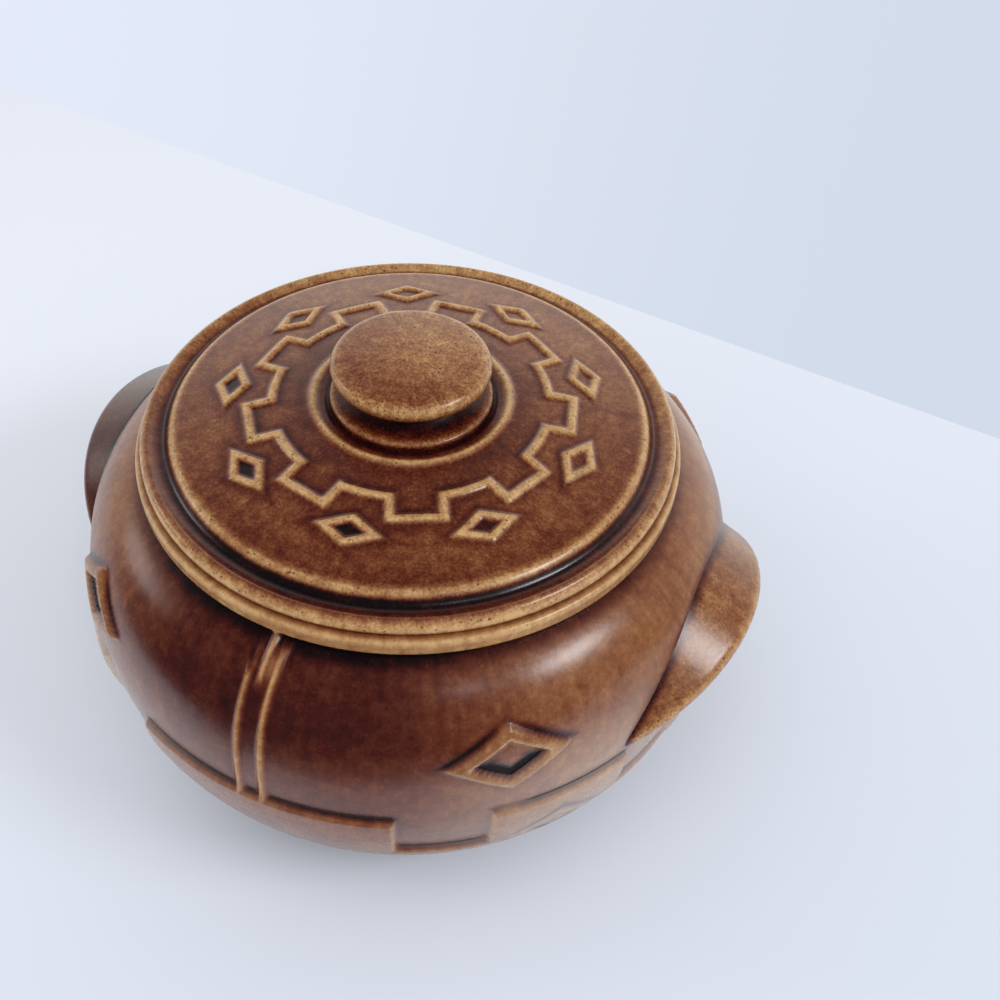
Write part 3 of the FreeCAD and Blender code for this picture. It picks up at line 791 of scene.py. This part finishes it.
lid = {
    "inset": 1.8, "gap": 0.2, "wall": 6.6, "clearance": 2.0, "flangeWidth": 5.0, "flangeDepth": 8.0,
    "domeRound": 336.0, "domeHeight": 12.9, "domeInset": 10.7, "lipDrop": 1.9, "lipRound": 3.6,
    "grooveInset": 6.4, "grooveWall": 1.3, "grooveHeight": 3.4, "grooveRound": 5.0, "rimRound": 2.35,
    "rimUnder": 1.1,
    "beadRadius": 27.1, "beadRound": 1.8, "beadHeight": 0.9,
    "knobSeat": 11.4, "knobSeatRadius": 23.8,
    "turns": 392,
    # glaze depth out along the top, and down round the rim's lower half
    "glaze": ((0, -0.5), (22.8, -0.75), (24.4, -0.6), (25.5, -0.3), (26.3, 0.4), (27.1, 0.78),
              (27.9, 0.4), (28.8, -0.3), (30.5, -0.42), (36.0, -0.12), (56.0, -0.04), (60.0, -0.14),
              (63.4, -0.18), (64.5, 0.12), (65.4, 0.55), (66.4, 0.58), (66.9, 0.0), (67.3, -0.95),
              (68.6, -0.95), (70.0, -0.68), (71.6, -0.3), (73.0, 0.1), (74.0, 0.55), (74.7, 0.9)),
    "rimGlaze": ((0.2, -0.3), (0.6, 0.25), (1.2, 0.65), (2.6, 0.9)),
    "thinSide": 98.0,            # the glaze is lighter towards this side, on the dome and in the groove
    "domeThin": (0.2, 0.12),     # added all round, and by side
    "rimThin": (0.85, 0.46, 0.44),      # its depth there, and how near to it all round and by side
    "grooveThin": (0.3, 0.3, 0.28),
    "rimWidth": 5.6,
}
lidRadius = collarRadius - lid["inset"]

lidRelief = {
    "relief": 0.85,
    "turn": 17.7,
    "teeth": 9.0,
    "ringInner": 38.4,
    "ringOuter": 44.8,
    "tooth": 13.8,
    "line": 2.8,
    "lozengeRadius": 50.4,
    "lozengeHalfWidth": 9.6,
    "lozengeHalfHeight": 5.2,
    "lozengeFrame": 0.55,
    "softness": 0.7,
    "thinSide": 60.0,
}


def drawLidRelief(given, x, y, z):
    radius = calc("SQRT", x * x + y * y)
    turn = calc("ARCTAN2", y, x) * (180 / math.pi) - given["turn"] + 360
    pitch = 360 / given["teeth"]
    toTooth = (calc("MODULO", turn + pitch * 0.5, pitch) - pitch * 0.5) * (math.pi / 180)
    toLozenge = (calc("MODULO", turn, pitch) - pitch * 0.5) * (math.pi / 180)

    def edges(radius):
        out = radius * calc("COSINE", toTooth)
        beside = size(radius * calc("SINE", toTooth))
        block = calc("MINIMUM", given["tooth"] * 0.5 - beside, given["ringOuter"] - out)
        border = calc("MAXIMUM", given["ringInner"] - radius, block)
        meander = given["line"] * 0.5 - size(border)
        frame, hole = lozengeEdge(radius * calc("SINE", toLozenge),
                                  radius * calc("COSINE", toLozenge) - given["lozengeRadius"],
                                  given["lozengeHalfWidth"], given["lozengeHalfHeight"],
                                  given["lozengeFrame"])
        return strongest(meander, frame), hole

    depth, hole = edges(radius)
    # 1 where an edge looks outwards and down
    facing = (edges(radius - 0.6)[0] - edges(radius + 0.6)[0]) / 1.2
    rise = step(depth, given["softness"] * -0.6, given["softness"] * 1.4, 0.0, given["relief"])
    thins = step(depth, -0.25, 0.75) * (facing * 0.08 + 0.82)
    upward = calc("MAXIMUM", 0 - facing, 0)
    # the holes and a halo round the lines darker away from one side: partly glaze pooled deeper, partly
    # painted shade
    shade = 0.5 - calc("COSINE", (turn + given["turn"] - given["thinSide"]) * (math.pi / 180)) * 0.5
    pools = hill(depth, -0.8, 0.75) * (upward * 0.3 + 0.12) + hill(depth, -1.6, 1.3) * shade * 0.22
    return rise, thins, strongest(pools, step(hole, -0.2, 0.7) * shade)


def onDome(radius, depth=0.0):
    return lid["domeHeight"] - lid["domeRound"] + math.sqrt((lid["domeRound"] - depth) ** 2 - radius ** 2)


def lidPath():
    small = wall["edgeRound"]
    flangeOuter = wall["mouthRadius"] - lid["clearance"]
    flangeInner = flangeOuter - lid["flangeWidth"]
    domeEdge = lidRadius - lid["domeInset"]
    rim = lid["rimRound"]
    bead = lid["beadRadius"]
    rise = lid["beadHeight"]
    spread = math.sqrt(lid["beadRound"] ** 2 - (lid["beadRound"] - rise) ** 2)
    corners = [
        (0, lid["domeHeight"] - lid["wall"]),
        (flangeInner, onDome(flangeInner, lid["wall"]), lid["domeRound"] - lid["wall"], -1),
        (flangeInner, small - lid["flangeDepth"]),
        (flangeInner + small, -lid["flangeDepth"], small, 1),
        (flangeOuter - small, -lid["flangeDepth"]),
        (flangeOuter, small - lid["flangeDepth"], small, 1),
        (flangeOuter, lid["gap"]),
        (lidRadius - lid["rimUnder"], lid["gap"]),
        (lidRadius, lid["gap"] + lid["rimUnder"], lid["rimUnder"], 1),
        (lidRadius, lid["gap"] + rim),
        (lidRadius - rim, lid["gap"] + rim * 2, rim, 1),
        (lidRadius - lid["grooveInset"], lid["grooveHeight"], lid["grooveRound"], -1),
        (lidRadius - lid["grooveInset"] - lid["grooveWall"], onDome(domeEdge) - lid["lipDrop"]),
        (domeEdge, onDome(domeEdge), lid["lipRound"], 1),
        (bead + spread, onDome(bead + spread), lid["domeRound"], 1),
        (bead, onDome(bead) + rise, lid["beadRound"], 1),
        (bead - spread, onDome(bead - spread), lid["beadRound"], 1),
        (lid["knobSeatRadius"], onDome(lid["knobSeatRadius"]), lid["domeRound"], 1),
        (lid["knobSeatRadius"], lid["knobSeat"]),
        (0, lid["knobSeat"]),
    ]
    return tracePath([(corner[0], corner[1] + seat) + tuple(corner[2:]) for corner in corners])


def lidGlaze(thin, ring, turns):    # how the glaze's depth changes round the lid
    out, up = ring[1:-1, :1], ring[1:-1, 1:]
    side = np.cos(np.radians(turns - lid["thinSide"]))
    onDomeTop = (up > seat + 5) & (out > lid["knobSeatRadius"])
    inGroove = (up > seat + 1) & (out > lidRadius - lid["domeInset"] + 2) & ~onDomeTop
    onRim = np.clip((out - (lidRadius - lid["rimWidth"])) / 1.2, 0, 1)
    each = thin[1:-1, None]
    more, bySide = lid["domeThin"]
    each = each + onDomeTop * (more + bySide * side)
    for share, (depth, near, bySide) in ((onRim, lid["rimThin"]), (1 - onRim, lid["grooveThin"])):
        each = each + inGroove * share * (near + bySide * side) * (depth - each)
    return np.concatenate([each.ravel(), [thin[0], thin[-1]]])


def makeLid():
    path = soften(lidPath(), 0.55)[2]
    along = alongPath(path)
    top = path[:, 1] > seat + lid["grooveHeight"] - 1
    upper = bands(path[:, 0], 1.1, (lid["beadRadius"] - 3.2, lid["beadRadius"] + 2.6, 0.4),
                  (lidRelief["ringInner"] - 2.6, lidRelief["lozengeRadius"] + 6.4, 0.5),
                  (lidRadius - lid["domeInset"] - 1.5, 200, 0.45))
    lower = bands(path[:, 1], 4.0, (seat - lid["flangeDepth"] - 1, seat - lid["flangeDepth"] + 1.5, 0.6),
                  (seat - 0.6, seat + 6, 0.7))
    rows = stations(along, np.where(top & (path[:, 0] > 20), upper, lower))
    turns = np.arange(lid["turns"]) * 360 / lid["turns"]
    at = np.stack([np.interp(rows, along, path[:, axis]) for axis in (0, 1)], 1)
    crest = along[np.argmax(path[:, 0])]
    rim = readOff(at[:, 1] - seat, lid["rimGlaze"])
    thin = np.where(rows > crest, readOff(at[:, 0], lid["glaze"]), rim)
    hidden = (rows < crest) & (at[:, 0] < wall["mouthRadius"])
    thin = np.where(hidden, glazeOn(path, rows, (1.0, 1.2), (3.2, 0.5)), thin)
    piece, ring, columns = spin("lidShell", path, rows, turns, thin)
    domeEdge = lidRadius - lid["domeInset"]
    onTop = (ring[:, 1] > seat + 5) & (ring[:, 0] > lid["beadRadius"] + 3) & (ring[:, 0] < domeEdge)
    underRim = (ring[:, 1] < seat + lid["gap"] + 0.3) & (ring[:, 0] > wall["mouthRadius"] - 4)
    addMarks(piece.data, thin=lidGlaze(thin, ring, turns),
             relief=spreadRows(onTop.astype(float), columns),
             bare=spreadRows(underRim.astype(float), columns))
    tree = reliefTree("lidRelief", lidRelief, drawLidRelief)
    raiseRelief(piece, tree, lidRelief, glazeMaterial("lidGlaze"))
    return piece


# the knob

knob = {
    "foot": 22.6, "footHeight": 2.6, "footRound": 1.1, "sweep": 9.0, "neck": 14.5, "neckHeight": 6.2,
    "under": 8.6, "radius": 22.6, "thickness": 5.8, "rimRound": 3.0, "crown": 1.5,
    "turns": 280,
    # glaze depth out over the foot, and up from the disc's underside to its middle
    "footGlaze": ((14.5, -0.8), (17.8, -0.72), (19.8, -0.4), (21.0, 0.05), (21.8, 0.4), (22.4, 0.35),
                  (22.6, -0.5)),
    "discGlaze": ((-2.0, -0.9), (0.2, -0.9), (0.8, -0.5), (1.6, 0.0), (2.6, 0.38), (3.6, 0.64),
                  (4.7, 0.66), (5.3, 0.42), (5.7, 0.14), (5.95, -0.04), (6.3, -0.1), (7.3, 0.06)),
    "thinSide": 75.0,
    "topThin": (0.37, 0.22),    # added all round, and by side
}


def makeKnob():
    base = seat + lid["knobSeat"]
    footTop = base + knob["footHeight"]
    under = base + knob["under"]
    top = under + knob["thickness"]
    edge = knob["radius"] - knob["thickness"] / 2
    crown = knob["crown"]
    path = tracePath([
        (0, base), (knob["foot"], base), (knob["foot"], footTop - knob["footRound"]),
        (knob["foot"] - knob["footRound"], footTop, knob["footRound"], 1),
        (knob["neck"], base + knob["neckHeight"], knob["sweep"], -1),
        (edge, under, knob["sweep"], -1), (edge, top, knob["rimRound"], 1),
        (0, top + crown, (edge ** 2 + crown ** 2) / (2 * crown), 1),
    ])
    path = soften(path, 0.35)[2]
    along = alongPath(path)
    rows = stations(along, np.where(path[:, 1] > base + 0.5, 0.5, 2.5))
    turns = np.arange(knob["turns"]) * 360 / knob["turns"]
    at = np.stack([np.interp(rows, along, path[:, axis]) for axis in (0, 1)], 1)
    thin = np.where(at[:, 1] > base + knob["neckHeight"], readOff(at[:, 1] - under, knob["discGlaze"]),
                    readOff(at[:, 0], knob["footGlaze"]))
    piece, ring, columns = spin("lidKnob", path, rows, turns, thin)
    side = np.cos(np.radians(turns - knob["thinSide"])) * (ring[1:-1, :1] / knob["radius"])
    onTop = np.clip((ring[1:-1, 1] - under - 5.0) / 0.8, 0, 1)[:, None]
    more, bySide = knob["topThin"]
    each = thin[1:-1, None] + onTop * (more + bySide * side)
    addMarks(piece.data, thin=np.concatenate([each.ravel(), [thin[0], thin[-1] + more]]))
    piece.data.materials.append(glazeMaterial("knobGlaze", 1.4))
    return piece


print("pot: turning and relief")
potPiece = makePot()
finishPiece(potPiece, "pot_body")
print("lugs")
finishPiece(makeLug("lugRight", 1, lug["glazeRight"]), "handle_right")
finishPiece(makeLug("lugLeft", -1, lug["glazeLeft"]), "handle_left")
print("lid: turning and relief")
lidPiece = makeLid()
finishPiece(lidPiece, "lid")
print("knob")
knobPiece = makeKnob()
finishPiece(knobPiece, "lid_knob")
for piece in (potPiece, lidPiece, knobPiece):
    piece.data.calc_loop_triangles()
    print(piece.name, "triangles", len(piece.data.loop_triangles))

# camera, floor and light

view = {
    "place": (109.52, -219.76, 341.5),
    "turn": (43.897, -2.579, 23.026),
    "lens": 42.04,
}
camera = bpy.data.objects.new("camera", bpy.data.cameras.new("camera"))
camera.location = Vector(view["place"]) * mm
camera.rotation_euler = Euler([math.radians(angle) for angle in view["turn"]], "XYZ")
camera.data.lens = view["lens"]
camera.data.clip_start = 0.01
bpy.context.scene.collection.objects.link(camera)
bpy.context.scene.camera = camera

room = {
    "floor": ((229, 236, 250), (206, 215, 231)),       # from far left to near right, darker towards the near right: a painted shade
    "backdrop": ((229, 235, 250), (211, 220, 234)),    # from its left to its right, darker to the right: a painted shade
    "light": (255, 252, 247),
    "edge": ((-406, 276), (180, 218)),     # where the table top meets the backdrop, in millimetres
    "front": -186,                         # and where the table top ends, out of view
    "back": (-0.3, 1.0, 0.0),              # the side of the room that the glaze mirrors brightly
    "bright": 1.35,
    "dim": 0.05,
    "open": (0.0, -1.0, 0.1),             # the side that most of the soft light comes from
    "fill": (0.5, 1.03),
    "lamps": (
        # name, place in metres, aim, width, depth, watts, mirrored in the glaze
        ("ceiling", (0.15, -0.4, 1.3), (0, 0, 0.1), 0.9, 0.6, 2.4, False),
        ("window", (1.02, -0.08, 0.97), (0, 0, 0.1), 0.52, 0.26, 5.6, True),
        ("spark", (0.7, -0.68, 1.08), (0, 0, 0.1), 0.05, 0.05, 0.4, True),
        ("sideWindow", (-1.15, -0.28, 0.5), (0, 0, 0.1), 0.5, 0.34, 1.2, True),
    ),
}


def plainMaterial(name, shade, roughness=0.9):
    material = bpy.data.materials.new(name)
    material.use_nodes = True
    shader = material.node_tree.nodes["Principled BSDF"]
    shader.inputs["Base Color"].default_value = paint(*shade)
    shader.inputs["Roughness"].default_value = roughness
    shader.inputs["Specular IOR Level"].default_value = 0.2
    return material


def tableMaterial():
    material = plainMaterial("tableTop", room["floor"][0])
    tree = material.node_tree
    x, y, z = apart(tree, tree.nodes.new("ShaderNodeTexCoord").outputs["Object"])
    # the table top darker towards the near right: painted shade
    across = step(x * 0.8 - y * 0.6, -0.35, 0.3)
    shade = mixColour(tree, across, *[paint(*part) for part in room["floor"]])
    feed(tree, shade, tree.nodes["Principled BSDF"].inputs["Base Color"])
    return material


def sheetOf(name, corners, material):
    mesh = bpy.data.meshes.new(name)
    mesh.from_pydata(corners, [], [tuple(range(len(corners)))])
    sheet = bpy.data.objects.new(name, mesh)
    sheet.data.materials.append(material)
    bpy.context.scene.collection.objects.link(sheet)


def makeRoom():
    (leftX, leftY), (rightX, rightY) = room["edge"]
    slope = (rightY - leftY) / (rightX - leftX)
    far = [(x, (leftY + (x / mm - leftX) * slope) * mm, 0) for x in (3, -3)]
    near = [(x, room["front"] * mm, 0) for x in (-3, 3)]
    sheetOf("floor", near + far, tableMaterial())
    world = bpy.data.worlds.new("room")
    bpy.context.scene.world = world
    world.use_nodes = True
    tree = world.node_tree
    heading = apart(tree, tree.nodes.new("ShaderNodeTexCoord").outputs["Generated"])

    def towards(side):
        return sum(part * share for part, share in zip(heading, Vector(side).normalized()))

    light = step(towards(room["back"]), -0.1, 0.9, room["dim"], room["bright"])
    light = light * step(heading[2], 0.2, 0.95, 1, 0.04)
    fill = step(towards(room["open"]), -0.8, 0.8, *room["fill"])
    path = tree.nodes.new("ShaderNodeLightPath")
    seen = Field(tree, path.outputs["Is Camera Ray"])
    mirrored = Field(tree, path.outputs["Is Glossy Ray"])
    sky = tree.nodes["Background"]
    # the backdrop darker to the right: painted shade
    across = step(heading[0], -0.75, 0.05)
    backdrop = mixColour(tree, across, *[paint(*shade) for shade in room["backdrop"]])
    tint = mixColour(tree, seen, paint(*room["light"]), backdrop)
    tree.links.new(tint.socket, sky.inputs["Color"])
    feed(tree, seen + mirrored * light + (1 - seen - mirrored) * fill, sky.inputs["Strength"])


def makeLamps():
    for name, place, aim, width, depth, watts, mirrored in room["lamps"]:
        lamp = bpy.data.lights.new(name, "AREA")
        lamp.shape = "ELLIPSE"
        lamp.size = width
        lamp.size_y = depth
        lamp.energy = watts
        holder = bpy.data.objects.new(name, lamp)
        holder.location = place
        holder.visible_glossy = mirrored
        holder.rotation_euler = (Vector(aim) - Vector(place)).to_track_quat("-Z", "Y").to_euler()
        bpy.context.scene.collection.objects.link(holder)


print("table, backdrop and lamps")
makeRoom()
makeLamps()
bpy.context.scene.view_settings.view_transform = "Standard"
